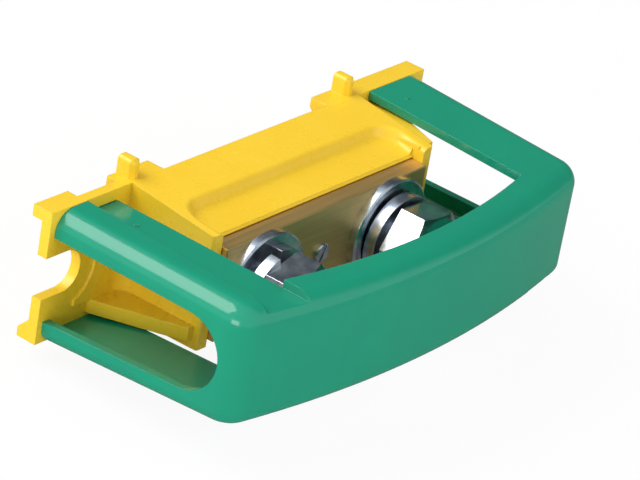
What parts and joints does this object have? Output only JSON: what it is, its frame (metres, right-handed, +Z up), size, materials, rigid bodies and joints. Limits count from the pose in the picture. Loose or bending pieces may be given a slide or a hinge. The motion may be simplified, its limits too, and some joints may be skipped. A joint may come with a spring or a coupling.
{
  "type": "power distribution block",
  "caption": "Earth distribution block: brass bar with hex bolt terminals in a moulded base, under a clip-on hollow cover open at both ends and above.",
  "frame": {"origin": "centre of the flat mounting back, midway between the two end slots", "axes": "+X along the base, -Y out of the mounting surface towards the cover, +Z up across the base"},
  "size_m": [0.0928, 0.045, 0.0292],
  "materials": {
    "housing_plastic": "satin",
    "cover_plastic": "gloss",
    "bar_brass": "drawn, dull",
    "zinc_steel": "bright zinc"
  },
  "bodies": {
    "root": {"housing": "housing_plastic", "busbar": "bar_brass", "cover": "cover_plastic", "flat_washer_left": "zinc_steel", "flat_washer_right": "zinc_steel", "spring_washer_left": "zinc_steel", "spring_washer_right": "zinc_steel", "hex_bolt_left": "zinc_steel", "hex_bolt_right": "zinc_steel", "fixing_screw": "zinc_steel"}
  },
  "joints": []
}
